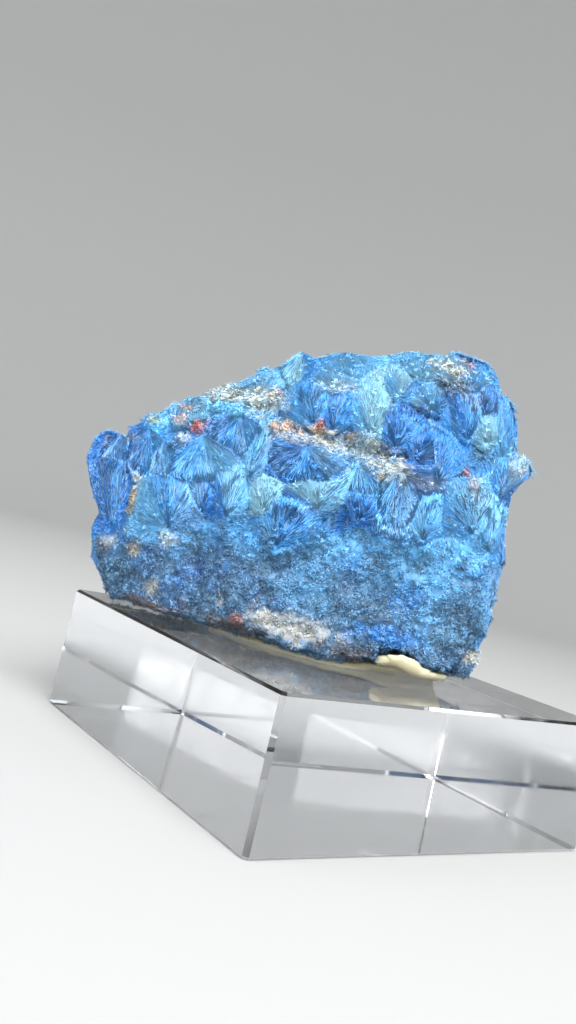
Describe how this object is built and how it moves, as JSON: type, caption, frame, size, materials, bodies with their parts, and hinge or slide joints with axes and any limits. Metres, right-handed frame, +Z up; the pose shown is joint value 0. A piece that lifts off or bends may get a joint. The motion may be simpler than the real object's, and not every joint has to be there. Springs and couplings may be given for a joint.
{
  "type": "shattuckite specimen on an acrylic block",
  "caption": "Blue shattuckite specimen with radiating needle fans over felted needles, tacked on a clear acrylic display block.",
  "frame": {"origin": "middle of the acrylic block's underside", "axes": "+Z up from the surface it rests on, +X along the block's front edge, +Y away from that edge; the specimen's best side faces 40 degrees from -Y towards -X"},
  "size_m": [0.0338, 0.0339, 0.0356],
  "materials": {
    "shattuckite": "silky fibrous needle fans and felted needles, with rust-red and tan patches",
    "tack": "smooth cream putty, slightly translucent",
    "acrylic": "clear, polished on all faces"
  },
  "bodies": {
    "root": {"shattuckite": "shattuckite", "mineral_tack": "tack", "acrylic_block": "acrylic"}
  },
  "joints": []
}
